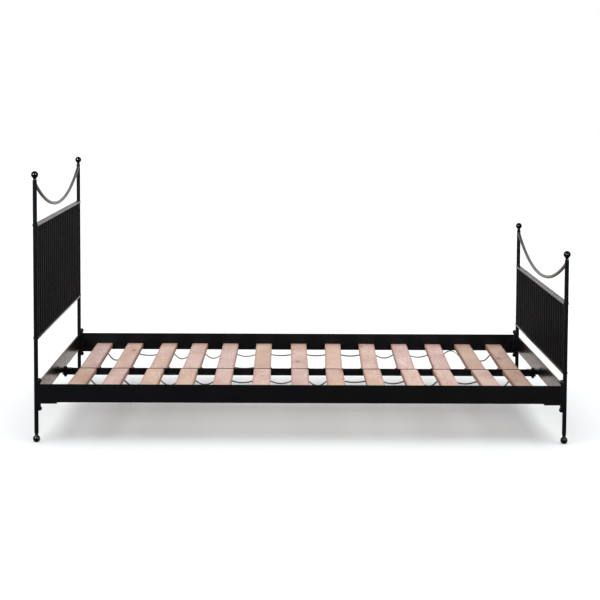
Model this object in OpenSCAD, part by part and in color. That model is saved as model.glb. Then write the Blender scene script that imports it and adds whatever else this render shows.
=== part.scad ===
// Iron bed frame for a double mattress. Millimetres, +Z up, floor at Z = 0.
// X runs along the bed with the head at -X and the foot at +X. Y runs across it: the sleeper's
// right side is -Y. The origin is on the floor under the middle of the bed.

/* [Frame] */
// Distance between post centres along the bed
frame_l = 1960; // [1940:5:2100]
// Distance between post centres across the bed
frame_w = 1392; // [1340:4:1560]
// Overall height of the head end
head_h = 1006.5; // [900:0.5:1200]
// Overall height of the foot end
foot_h = 720.5; // [640:0.5:860]

/* [Posts and balls] */
// Diameter of the round bar posts
post_d = 16; // [14:1:18]
// Diameter of the ball finials and ball feet
ball_d = 27; // [25:1:32]
// Distance from a ball's centre to the end of its neck
neck_end = 22; // [20:1:28]
// Diameter of a neck at its narrowest
neck_d = 12.4; // [11:0.2:13]

/* [End panels] */
// Depth of the hanging curve of the rod between the posts
swag_sag = 114; // [60:2:150]
// Diameter of the hanging rod
swag_d = 13; // [8:0.5:14]
// Drop from a finial ball's centre to the end of the hanging rod
swag_drop = 30; // [28:1:60]
// Width of the flat bars above and below the spindles
bar_w = 20; // [18:1:28]
// Thickness of those flat bars
bar_t = 7; // [5:0.5:10]
// Height of the head end's upper bar, at its top face
head_bar_top = 810; // [700:1:860]
// Height of the head end's lower bar, at its top face
head_bar_low = 392; // [300:1:420]
// Height of the foot end's upper bar, at its top face
foot_bar_top = 528; // [460:1:560]
// Height of the foot end's lower bar, at its top face
foot_bar_low = 269; // [262:1:300]
// Number of spindles in each end panel
spindle_count = 22; // [10:1:26]
// Diameter of a spindle
spindle_d = 12; // [9:0.5:14]

/* [Rails] */
// Height of the underside of every rail above the floor
rail_z = 150; // [120:1:180]
// Height of the rails' upright faces
rail_h = 68; // [60:1:80]
// Thickness of the side rails' angle section
angle_t = 5; // [4:0.5:6]
// Width of the side rails' slat ledge, with the upright
angle_w = 35; // [30:1:45]
// Thickness of the end rails' flat bar
end_rail_t = 6; // [4:0.5:8]
// Width of the centre rail's flange
centre_w = 50; // [40:1:60]
// How far the centre rail lies below the side rails
centre_drop = 5; // [0:0.5:10]
// Thickness of the centre rail's upright web
centre_web_t = 4; // [3:0.5:6]

/* [Slats] */
// Width of a slat
slat_w = 70; // [50:1:80]
// Thickness of a slat
slat_t = 19; // [15:1:22]
// Gap between a half slat and the side rail's upright
slat_rail_gap = 3; // [2:0.5:6]
// Gap between a half slat and the centre web
slat_web_gap = 1.5; // [1:0.5:3]
// Distance of one tape of each row from the nearer ends of its half slats
tape_inset = 195; // [150:5:260]
// Distance of the row's other tape from the half slats' other ends
tape_other_inset = 147; // [120:1:200]
// Width of a tape
tape_w = 20; // [12:1:30]
// Thickness of a tape
tape_t = 2.2; // [1:0.2:3]

/* [Hidden] */
RIGHT = -1;
LEFT = 1;
HEAD = -1;
FOOT = 1;
SIDES = [RIGHT, LEFT];
ENDS = [HEAD, FOOT];
eps = 0.01;
fit = 0.05;

half_l = frame_l / 2;
half_w = frame_w / 2;
post_r = post_d / 2;
ball_r = ball_d / 2;
ball_flat = 0.5;
foot_ball_z = ball_r - ball_flat;
post_bottom = foot_ball_z + neck_end;
spigot_r = 4;
spigot_l = 14;

// The waist of a neck is an arc that starts and ends at the post's radius.
waist_z = (neck_end + ball_r - 2.5) / 2;
waist_half = neck_end - waist_z;
waist_depth = post_r - neck_d / 2;
waist_r = (waist_half * waist_half + waist_depth * waist_depth) / (2 * waist_depth);

spindle_r = spindle_d / 2;
tenon_r = 4;
rivet_r = 5.5;
rivet_h = 1.3;
spindle_pitch = frame_w / (spindle_count + 1);

// The joint at each corner: a flange on the post, a plate on the side rail and two bolts.
rail_mid_z = rail_z + rail_h / 2;
corner_mid_z = rail_mid_z - 5.5;
corner_plate_w = 18;
corner_bolt_z = 52;
post_flange_t = 4;
rail_plate_t = 4.5;
flange_seat = 1.5;
flange_face = half_l - post_r - post_flange_t;
rail_end = flange_face - rail_plate_t;
bolt_r = 4;
bolt_hole_r = 4.5;
button_r = 7.5;
button_h = 4.4;
button_sphere_r = (button_r * button_r + button_h * button_h) / (2 * button_h);
bolt_bite = 11;

side_face = half_w + post_r;
ledge_z = rail_z + angle_t;
end_rail_face = half_l;

// The plate under each corner of a side rail, held by two low-headed screws.
gusset_l = 60;
gusset_w = 75;
gusset_t = 5;
gusset_round = 10;
gusset_screw_r = 3;
gusset_head_r = 5.5;
gusset_head_h = 1.8;
gusset_screw_y = half_w - 12;
gusset_screw_x = [half_l - 58, half_l - 35];

// The centre rail hangs under a channel bracket at each end by one upright bolt.
centre_z = rail_z - centre_drop;
centre_ledge_z = centre_z + angle_t;
centre_top = centre_ledge_z + slat_t + 1.5;
bracket_w = 26;
bracket_l = 44;
bracket_wall = 3;
bracket_inner = end_rail_face - end_rail_t;
centre_flange_half = bracket_inner - 8;
centre_web_half = bracket_inner - bracket_l - 0.5;
centre_bolt_x = bracket_inner - 17.5;
washer_r = 8;
washer_t = 1.6;
hex_flat = 13;
hex_r = hex_flat / (2 * cos(30));
hex_head_h = 4.6;
hex_nut_h = 6.8;
thread_end = 3;
washer_low = centre_z - washer_t;
nut_low = washer_low - hex_nut_h;

// Half slats lie loose on the ledges. Their places are a little uneven, as they are set by hand.
slat_inner = centre_web_t / 2 + slat_web_gap;
slat_outer = side_face - angle_t - slat_rail_gap;
slat_l = slat_outer - slat_inner;
slat_mid = (slat_outer + slat_inner) / 2;
// Each slopes down a little from the inner edge of its side ledge to the lower centre rail.
slat_fall = (ledge_z - centre_ledge_z) / (side_face - angle_w - slat_inner);
slat_tilt = atan(slat_fall);
slat_clearance = 0.05;
RIGHT_SLAT_X = [-864, -732, -586, -449, -304, -151, 1, 141, 294, 448, 582, 738, 866];
LEFT_SLAT_X = [-864, -728, -577, -441, -303, -153, 1, 147, 297, 444, 593, 731, 868];
// How far each left half slat's outer end lies towards the foot, past its inner end
RIGHT_SLAT_SKEW = [0, -2, 3, 2, 0, 1, -1, -2, -2, 0, 3, 2, 0];
LEFT_SLAT_SKEW = [-1, 1, 4, 5, 3, -1, 0, 13, 13, 9, 12, 2, 6];
slat_count = len(LEFT_SLAT_X);

// Two tapes run under each row of half slats and sag between them. A negative sag stands up.
// The two rows are alike, and one is turned round, so their tapes lie at different places.
RIGHT_TAPES = [slat_inner + tape_inset, slat_outer - tape_other_inset];
LEFT_TAPES = [slat_inner + tape_other_inset, slat_outer - tape_inset];
RIGHT_INNER_SAG = [22, 23, 19, 15, 7, 10, 18, 4, 9, 19, 9, 24];
RIGHT_OUTER_SAG = [20, 8, 15, 24, 6, 12, 19, 7, 16, 10, 21, 26];
LEFT_INNER_SAG = [25, 18, 23, 20, 4, 24, 16, 22, 19, 25, 21, 24];
LEFT_OUTER_SAG = [27, 5, 20, 17, 8, 4, 4, 5, 13, 9, -20, 25];
sag_steps = 8;
tape_tail = 4;

staple_crown = 11;
staple_wire = 1.2;
staple_leg = 9;

function slat_name(side, n) = str(
    "slat_", side == RIGHT ? "right" : "left", n < 10 ? "_0" : "_", n
);

function slat_x(side, i) = side == RIGHT ? RIGHT_SLAT_X[i] : LEFT_SLAT_X[i];

function slat_skew(side, i) = side == RIGHT ? RIGHT_SLAT_SKEW[i] : LEFT_SLAT_SKEW[i];

// Where the middle of slat i lies along X at a given distance from the bed's middle line
function crossing_x(side, i, place) =
    slat_x(side, i) + slat_skew(side, i) * (place - slat_mid) / slat_l;

// ---- Posts, balls and hanging rods ----

// A ball with a waisted neck, its centre at the origin and its neck pointing down
module ball_and_neck() {
    difference() {
        union() {
            sphere(r = ball_r, $fn = 96);
            rotate_extrude($fn = 96)
                difference() {
                    translate([0, -neck_end])
                        square([post_r, neck_end]);
                    translate([neck_d / 2 + waist_r, -waist_z])
                        circle(r = waist_r, $fn = 96);
                }
        }
        translate([0, 0, -neck_end - eps])
            cylinder(r = spigot_r + fit, h = spigot_l + 1, $fn = 48);
    }
}

module ball_foot() {
    difference() {
        mirror([0, 0, 1])
            ball_and_neck();
        translate([-ball_r, -ball_r, -ball_r - ball_flat])
            cube([ball_d, ball_d, 2 * ball_flat]);
    }
}

module finials() {
    color("#141416")
        for (end = ENDS, side = SIDES)
            translate([end * half_l, side * half_w, (end == HEAD ? head_h : foot_h) - ball_r])
                ball_and_neck();
}

module ball_feet() {
    color("#141416")
        for (end = ENDS, side = SIDES)
            translate([end * half_l, side * half_w, foot_ball_z])
                ball_foot();
}

// A round bar with a spigot at each end and two blind holes for the corner bolts
module post(end, side) {
    top = (end == HEAD ? head_h : foot_h) - ball_r - neck_end;
    color("#141416")
        translate([end * half_l, side * half_w, 0])
            difference() {
                union() {
                    translate([0, 0, post_bottom])
                        cylinder(r = post_r, h = top - post_bottom, $fn = 64);
                    translate([0, 0, post_bottom - spigot_l])
                        cylinder(r = spigot_r, h = top - post_bottom + 2 * spigot_l, $fn = 48);
                }
                for (step = [-1, 1])
                    translate([0, 0, corner_mid_z + step * corner_bolt_z])
                        rotate([0, -end * 90, 0])
                            translate([0, 0, post_r - bolt_bite - 0.5])
                                cylinder(r = bolt_r + fit, h = post_d, $fn = 48);
            }
}

// The four posts' places, cut from whatever is welded to them
module post_space() {
    for (end = ENDS, side = SIDES)
        translate([end * half_l, side * half_w, 0])
            cylinder(r = post_r, h = head_h, $fn = 64);
}

// A round rod bent to a shallow arc, hanging from post to post
module swag_rod(end) {
    end_z = (end == HEAD ? head_h : foot_h) - ball_r - swag_drop;
    bend_r = (half_w * half_w + swag_sag * swag_sag) / (2 * swag_sag);
    half_turn = asin(half_w / bend_r);
    color("#55555a")
        difference() {
            translate([end * half_l, 0, end_z - swag_sag + bend_r])
                rotate([90, 0, 90])
                    rotate([0, 0, -90 - half_turn])
                        rotate_extrude(angle = 2 * half_turn, $fn = 540)
                            translate([bend_r, 0])
                                circle(d = swag_d, $fn = 48);
            post_space();
        }
}

// ---- End panels ----

module at_spindles(end) {
    for (i = [1:spindle_count])
        translate([end * half_l, i * spindle_pitch - half_w, 0])
            children();
}

module panel_bar(end, top_z) {
    color("#19191b")
        difference() {
            translate([end * half_l - bar_w / 2, -half_w + 2, top_z - bar_t])
                cube([bar_w, frame_w - 4, bar_t]);
            post_space();
            at_spindles(end)
                translate([0, 0, top_z - bar_t - 1])
                    cylinder(r = tenon_r + fit, h = bar_t + 2, $fn = 40);
        }
}

// A spindle with a riveted tenon through the bar at each end
module spindle(low_z, high_z) {
    translate([0, 0, low_z])
        cylinder(r = spindle_r, h = high_z - bar_t - low_z, $fn = 40);
    translate([0, 0, low_z - bar_t])
        cylinder(r = tenon_r, h = high_z - low_z + bar_t, $fn = 40);
    translate([0, 0, high_z])
        cylinder(r1 = rivet_r, r2 = rivet_r - 2.5, h = rivet_h, $fn = 40);
    translate([0, 0, low_z - bar_t - rivet_h])
        cylinder(r1 = rivet_r - 2.5, r2 = rivet_r, h = rivet_h, $fn = 40);
}

module head_spindles() {
    color("#222224")
        at_spindles(HEAD)
            spindle(head_bar_low, head_bar_top);
}

module foot_spindles() {
    color("#222224")
        at_spindles(FOOT)
            spindle(foot_bar_low, foot_bar_top);
}

// ---- Rails and corner joints ----

// A flat bar on edge, its outer side in line with the middles of the posts
module end_rail(end) {
    color("#19191b")
        difference() {
            translate([
                end == HEAD ? -end_rail_face : end_rail_face - end_rail_t,
                -half_w + 2,
                rail_z
            ])
                cube([end_rail_t, frame_w - 4, rail_h]);
            post_space();
        }
}

// An angle section: an upright web with a ledge turned inwards for the slats
module side_rail(side) {
    color("#121214")
        difference() {
            mirror([0, side == RIGHT ? 1 : 0, 0])
                translate([-rail_end, 0, rail_z]) {
                    translate([0, side_face - angle_t, 0])
                        cube([2 * rail_end, angle_t, rail_h]);
                    translate([0, side_face - angle_w, 0])
                        cube([2 * rail_end, angle_w, angle_t]);
                }
            gusset_screw_shanks(fit);
        }
}

// The outline of a corner plate: an upright strip with round ends
module corner_plate(thickness) {
    linear_extrude(thickness)
        difference() {
            union() {
                square([corner_plate_w, 2 * corner_bolt_z], center = true);
                for (step = [-1, 1])
                    translate([0, step * corner_bolt_z])
                        circle(d = corner_plate_w, $fn = 64);
            }
            for (step = [-1, 1])
                translate([0, step * corner_bolt_z])
                    circle(r = bolt_hole_r, $fn = 48);
        }
}

// Places children at every corner with +Z pointing to the middle of the bed along X
module at_corners(distance) {
    for (side = SIDES) {
        translate([-distance, side * half_w, corner_mid_z])
            rotate([90, 0, 90])
                children();
        translate([distance, side * half_w, corner_mid_z])
            rotate([90, 0, -90])
                children();
    }
}

module post_flanges() {
    color("#161618")
        difference() {
            at_corners(flange_face + post_flange_t + flange_seat)
                corner_plate(post_flange_t + flange_seat);
            post_space();
        }
}

module rail_end_plates() {
    color("#161618")
        at_corners(flange_face)
            corner_plate(rail_plate_t);
}

// A domed screw with a hex socket, its head's underside at the origin and its shank below
module button_bolt() {
    shank = half_l - post_r + bolt_bite - rail_end;
    difference() {
        union() {
            intersection() {
                translate([0, 0, button_h - button_sphere_r])
                    sphere(r = button_sphere_r, $fn = 80);
                cylinder(r = button_r, h = button_h + 1, $fn = 64);
            }
            translate([0, 0, -shank])
                cylinder(r = bolt_r, h = shank + eps, $fn = 48);
        }
        translate([0, 0, button_h - 2.6])
            cylinder(d = 5.8, h = 3, $fn = 6);
    }
}

module corner_bolts() {
    color("#1c1c1e")
        at_corners(rail_end)
            for (step = [-1, 1])
                translate([0, step * corner_bolt_z, 0])
                    button_bolt();
}

module corner_gussets() {
    color("#161618")
        difference() {
            for (end = ENDS, side = SIDES)
                mirror([end == HEAD ? 1 : 0, 0, 0])
                    mirror([0, side == RIGHT ? 1 : 0, 0])
                        translate([rail_end - gusset_l, side_face - gusset_w, rail_z - gusset_t])
                            linear_extrude(gusset_t) {
                                translate([gusset_round, 0])
                                    square([gusset_l - gusset_round, gusset_w]);
                                translate([0, gusset_round])
                                    square([gusset_l, gusset_w - gusset_round]);
                                translate([gusset_round, gusset_round])
                                    circle(r = gusset_round, $fn = 64);
                            }
            gusset_screw_shanks(fit);
        }
}

module gusset_screw_shanks(clearance) {
    for (end = ENDS, side = SIDES, x = gusset_screw_x)
        translate([end * x, side * gusset_screw_y, rail_z - gusset_t - clearance])
            cylinder(
                r = gusset_screw_r + clearance,
                h = gusset_t + angle_t + 2 * clearance,
                $fn = 40
            );
}

module gusset_screws() {
    color("#1c1c1e") {
        gusset_screw_shanks(0);
        for (end = ENDS, side = SIDES, x = gusset_screw_x)
            translate([end * x, side * gusset_screw_y, rail_z - gusset_t - gusset_head_h])
                cylinder(r1 = gusset_head_r - 1.2, r2 = gusset_head_r, h = gusset_head_h, $fn = 40);
    }
}

// ---- Centre rail ----

// The flange of an upturned T section. The half slats' inner ends lie on it.
module centre_rail() {
    color("#121214")
        difference() {
            translate([-centre_flange_half, -centre_w / 2, centre_z])
                cube([2 * centre_flange_half, centre_w, angle_t]);
            for (end = ENDS)
                translate([end * centre_bolt_x, 0, centre_z - 1])
                    cylinder(r = bolt_hole_r, h = angle_t + 2, $fn = 48);
        }
}

// The upright of the T section. It stops short so that the flange ends are tongues.
module centre_web() {
    color("#121214")
        translate([-centre_web_half, -centre_web_t / 2, centre_ledge_z])
            cube([2 * centre_web_half, centre_web_t, centre_top - centre_ledge_z]);
}

// A short channel, open below, welded to each end rail
module centre_brackets() {
    height = centre_top - centre_ledge_z;
    color("#161618")
        for (end = ENDS)
            mirror([end == HEAD ? 1 : 0, 0, 0])
                difference() {
                    translate([bracket_inner - bracket_l, -bracket_w / 2, centre_ledge_z])
                        cube([bracket_l, bracket_w, height]);
                    translate([
                        bracket_inner - bracket_l - 1,
                        -bracket_w / 2 + bracket_wall,
                        centre_ledge_z - 1
                    ])
                        cube([
                            bracket_l + 2,
                            bracket_w - 2 * bracket_wall,
                            height + 1 - bracket_wall
                        ]);
                    translate([centre_bolt_x, 0, centre_ledge_z])
                        cylinder(r = bolt_hole_r, h = height + 1, $fn = 48);
                }
}

module centre_bolts() {
    color("#1c1c1e")
        for (end = ENDS)
            translate([end * centre_bolt_x, 0, 0]) {
                translate([0, 0, centre_top + washer_t])
                    cylinder(r = hex_r, h = hex_head_h, $fn = 6);
                translate([0, 0, nut_low - thread_end])
                    cylinder(
                        r = bolt_r,
                        h = centre_top + washer_t - nut_low + thread_end + 1,
                        $fn = 48
                    );
            }
}

module centre_nuts() {
    color("#1c1c1e")
        for (end = ENDS)
            translate([end * centre_bolt_x, 0, nut_low])
                difference() {
                    cylinder(r = hex_r, h = hex_nut_h, $fn = 6);
                    translate([0, 0, -1])
                        cylinder(r = bolt_r + fit, h = hex_nut_h + 2, $fn = 48);
                }
}

module centre_washers() {
    color("#1c1c1e")
        for (end = ENDS, z = [washer_low, centre_top])
            translate([end * centre_bolt_x, 0, z])
                difference() {
                    cylinder(r = washer_r, h = washer_t, $fn = 64);
                    translate([0, 0, -1])
                        cylinder(r = bolt_r + 0.2, h = washer_t + 2, $fn = 48);
                }
}

// ---- Half slats, tapes and staples ----

// The height of a half slat's underside at a distance from the bed's middle line
function slat_low(place) = centre_ledge_z + slat_clearance + slat_fall * (place - slat_inner);

// Puts children at the middle of a half slat's underside. The skew turns it in the row's plane.
module at_slat(side, i) {
    translate([slat_x(side, i), side * slat_mid, slat_low(slat_mid)])
        rotate([side * slat_tilt, 0, 0])
            rotate([0, 0, -side * atan(slat_skew(side, i) / slat_l)])
                children();
}

module slat(side, n) {
    color("#c9a48f")
        difference() {
            at_slat(side, n - 1)
                translate([-slat_w / 2, -slat_l / 2, 0])
                    cube([slat_w, slat_l, slat_t]);
            slat_staples(side, n - 1);
        }
}

function tape_places(side) = side == RIGHT ? RIGHT_TAPES : LEFT_TAPES;

// One staple across each tape, through it and up into the slat
module slat_staples(side, i) {
    for (place = tape_places(side))
        translate([crossing_x(side, i, place), side * place, slat_low(place)])
            rotate([side * slat_tilt, 0, 0])
                translate([0, 0, -tape_t - staple_wire])
                    staple();
}

module staple() {
    translate([-staple_wire / 2, -staple_crown / 2, 0])
        cube([staple_wire, staple_crown, staple_wire]);
    for (step = [-1, 1])
        translate([
            -staple_wire / 2,
            step * (staple_crown - staple_wire) / 2 - staple_wire / 2,
            0
        ])
            cube([staple_wire, staple_wire, staple_leg + tape_t]);
}

module staples(side) {
    color("#9a9a9c")
        for (i = [0:slat_count - 1])
            slat_staples(side, i);
}

// The upper line of a tape: flat under each slat and hanging between slats
function tape_line(side, place, sags) = concat(
    [[crossing_x(side, 0, place) - slat_w / 2 - tape_tail, 0]],
    [
        for (i = [0:slat_count - 2], k = [0:sag_steps])
            let (
                from = crossing_x(side, i, place) + slat_w / 2,
                to = crossing_x(side, i + 1, place) - slat_w / 2,
                t = k / sag_steps
            )
            [from + (to - from) * t, -4 * sags[i] * t * (1 - t)]
    ],
    [[crossing_x(side, slat_count - 1, place) + slat_w / 2 + tape_tail, 0]]
);

module tape(side, place, sags) {
    line = tape_line(side, place, sags);
    last = len(line) - 1;
    outline = concat(line, [for (i = [0:last]) line[last - i] - [0, tape_t]]);
    translate([0, side * place, slat_low(place)])
        rotate([90 + side * slat_tilt, 0, 0])
            linear_extrude(tape_w, center = true)
                polygon(outline);
}

module tapes(side) {
    inner_sag = side == RIGHT ? RIGHT_INNER_SAG : LEFT_INNER_SAG;
    outer_sag = side == RIGHT ? RIGHT_OUTER_SAG : LEFT_OUTER_SAG;
    color("#8a6a52")
        difference() {
            union() {
                tape(side, tape_places(side)[0], inner_sag);
                tape(side, tape_places(side)[1], outer_sag);
            }
            staples(side);
        }
}

post(HEAD, RIGHT);  // head_right_post
post(HEAD, LEFT);  // head_left_post
post(FOOT, RIGHT);  // foot_right_post
post(FOOT, LEFT);  // foot_left_post
finials();
ball_feet();
swag_rod(HEAD);  // head_swag_rod
swag_rod(FOOT);  // foot_swag_rod
panel_bar(HEAD, head_bar_top);  // head_upper_bar
panel_bar(HEAD, head_bar_low);  // head_lower_bar
panel_bar(FOOT, foot_bar_top);  // foot_upper_bar
panel_bar(FOOT, foot_bar_low);  // foot_lower_bar
head_spindles();
foot_spindles();
end_rail(HEAD);  // head_end_rail
end_rail(FOOT);  // foot_end_rail
side_rail(RIGHT);  // right_side_rail
side_rail(LEFT);  // left_side_rail
post_flanges();
rail_end_plates();
corner_bolts();
corner_gussets();
gusset_screws();
centre_rail();
centre_web();
centre_brackets();
centre_bolts();
centre_nuts();
centre_washers();
for (side = SIDES, n = [1:slat_count])
    slat(side, n);
tapes(RIGHT);  // right_tapes
tapes(LEFT);  // left_tapes
staples(RIGHT);  // right_staples
staples(LEFT);  // left_staples
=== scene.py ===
"""The looks of an iron bed frame: satin black paint, weld beads, knotty boards and woven tapes, in a studio.

Metres, in the frame's own axes. X runs from head to foot, Y from the right side (-Y) to the left, and Z up
from the floor at 0.
"""
import math
import random

import bmesh
import bpy
from mathutils import Matrix, Vector, noise


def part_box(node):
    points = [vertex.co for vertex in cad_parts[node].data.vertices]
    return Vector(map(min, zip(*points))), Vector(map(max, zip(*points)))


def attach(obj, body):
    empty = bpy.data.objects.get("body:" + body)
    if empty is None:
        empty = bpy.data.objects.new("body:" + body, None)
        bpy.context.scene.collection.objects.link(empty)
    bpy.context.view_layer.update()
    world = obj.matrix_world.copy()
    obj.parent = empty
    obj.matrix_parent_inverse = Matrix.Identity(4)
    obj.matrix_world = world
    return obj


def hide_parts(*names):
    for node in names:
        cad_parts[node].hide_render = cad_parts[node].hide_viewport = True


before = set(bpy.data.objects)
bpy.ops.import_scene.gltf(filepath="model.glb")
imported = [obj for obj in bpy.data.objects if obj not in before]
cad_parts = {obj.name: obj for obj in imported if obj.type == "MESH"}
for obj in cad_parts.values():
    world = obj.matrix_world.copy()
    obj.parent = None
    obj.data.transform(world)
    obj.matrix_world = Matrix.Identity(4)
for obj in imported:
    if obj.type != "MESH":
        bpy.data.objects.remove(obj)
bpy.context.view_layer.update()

SEED = 20
ENDS = ("head", "foot")
SIDES = ("right", "left")
SLATS_PER_SIDE = 13
MM = 0.001

# ---------------------------------------------------------------- measures read from the frame


def middle(node):
    low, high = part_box(node)
    return (low + high) / 2


def sign(value):
    return -1 if value < 0 else 1


POST_RADIUS = (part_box("head_right_post")[1].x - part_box("head_right_post")[0].x) / 2
POSTS = {
    (end, side): middle(f"{end}_{side}_post")
    for end in ENDS
    for side in SIDES
}


# ---------------------------------------------------------------- node trees


class Tree:
    """A node tree that is filled one node at a time. Inputs are given by name, as values or as sockets."""

    def __init__(self, block):
        block.use_nodes = True
        self.tree = block.node_tree
        self.tree.nodes.clear()

    def add(self, kind, inputs=None, **settings):
        node = self.tree.nodes.new(kind)
        for name, value in settings.items():
            setattr(node, name, value)
        for name, value in (inputs or {}).items():
            socket = node.inputs[name]
            if isinstance(value, bpy.types.NodeSocket):
                self.tree.links.new(value, socket)
            else:
                socket.default_value = value
        return node

    def math(self, operation, a, b=0.0, clamp=False):
        node = self.add("ShaderNodeMath", {0: a, 1: b}, operation=operation, use_clamp=clamp)
        return node.outputs[0]

    def remap(self, value, low, high, to_low=0.0, to_high=1.0, smooth=False):
        kind = "SMOOTHSTEP" if smooth else "LINEAR"
        inputs = {"Value": value, "From Min": low, "From Max": high, "To Min": to_low, "To Max": to_high}
        return self.add("ShaderNodeMapRange", inputs, interpolation_type=kind).outputs[0]

    def mix(self, factor, a, b, blend="MIX"):
        node = self.add("ShaderNodeMix", data_type="RGBA", blend_type=blend)
        for name, value in (("Factor_Float", factor), ("A_Color", a), ("B_Color", b)):
            socket = next(s for s in node.inputs if s.identifier == name)
            if isinstance(value, bpy.types.NodeSocket):
                self.tree.links.new(value, socket)
            else:
                socket.default_value = value
        return next(s for s in node.outputs if s.identifier == "Result_Color")

    def scaled(self, vector, scale):
        inputs = {0: vector, 1: scale}
        return self.add("ShaderNodeVectorMath", inputs, operation="MULTIPLY").outputs[0]

    def noise(self, vector, scale, detail=2.0, roughness=0.5, distortion=0.0):
        inputs = {
            "Vector": vector,
            "Scale": scale,
            "Detail": detail,
            "Roughness": roughness,
            "Distortion": distortion,
        }
        return self.add("ShaderNodeTexNoise", inputs).outputs["Fac"]

    def bump(self, height, strength, distance, normal=None):
        inputs = {"Height": height, "Strength": strength, "Distance": distance}
        if normal is not None:
            inputs["Normal"] = normal
        return self.add("ShaderNodeBump", inputs).outputs[0]

    def principled(self, inputs):
        shader = self.add("ShaderNodeBsdfPrincipled", inputs)
        self.add("ShaderNodeOutputMaterial", {"Surface": shader.outputs[0]})


def rgb(red, green, blue):
    """A colour given as it looks on screen, 0 to 255, as the linear colour that shaders take."""
    def linear(value):
        share = value / 255
        return share / 12.92 if share <= 0.04045 else ((share + 0.055) / 1.055) ** 2.4

    return (linear(red), linear(green), linear(blue), 1.0)


# ---------------------------------------------------------------- materials

RUB_RADIUS = 1.6 * MM
RINGS_PER_METRE = 330.0
WEFT_PITCH = 2.4 * MM
WARP_PITCH = 1.8 * MM


def iron_paint(name, dark, pale, rough_low, rough_high, edge_share, gloss):
    """Satin paint on iron: orange peel, uneven gloss, and a thin rub along the edges."""
    material = bpy.data.materials.new(name)
    tree = Tree(material)
    place = tree.add("ShaderNodeTexCoord").outputs["Object"]
    cloud = tree.noise(place, 7.0, 4.0, 0.6)
    streak = tree.noise(tree.scaled(place, (1.0, 1.0, 6.0)), 16.0, 3.0, 0.6)
    peel = tree.noise(place, 520.0, 2.0, 0.5)
    sag = tree.noise(place, 34.0, 2.0, 0.4)
    speck = tree.noise(place, 210.0, 3.0, 0.7)

    base = tree.mix(tree.remap(cloud, 0.35, 0.68, smooth=True), dark, pale)
    surface = tree.add("ShaderNodeNewGeometry").outputs["Normal"]
    rounded = tree.add("ShaderNodeBevel", {"Radius": RUB_RADIUS}, samples=4).outputs[0]
    turned = tree.add("ShaderNodeVectorMath", {0: surface, 1: rounded}, operation="DOT_PRODUCT")
    edge = tree.remap(turned.outputs["Value"], 0.995, 0.90)
    rub = tree.math("MULTIPLY", edge, tree.remap(speck, 0.42, 0.66))
    rub = tree.math("MULTIPLY", rub, edge_share, clamp=True)
    base = tree.mix(rub, base, rgb(74, 70, 68))

    rough = tree.remap(streak, 0.3, 0.7, rough_low, rough_high)
    rough = tree.math("ADD", rough, tree.math("MULTIPLY", rub, 0.18))
    normal = tree.bump(sag, 0.05, 1.0 * MM)
    normal = tree.bump(peel, 0.06, 0.08 * MM, normal)
    tree.principled({"Base Color": base, "Roughness": rough, "Normal": normal, "Specular IOR Level": gloss})
    return material


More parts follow.
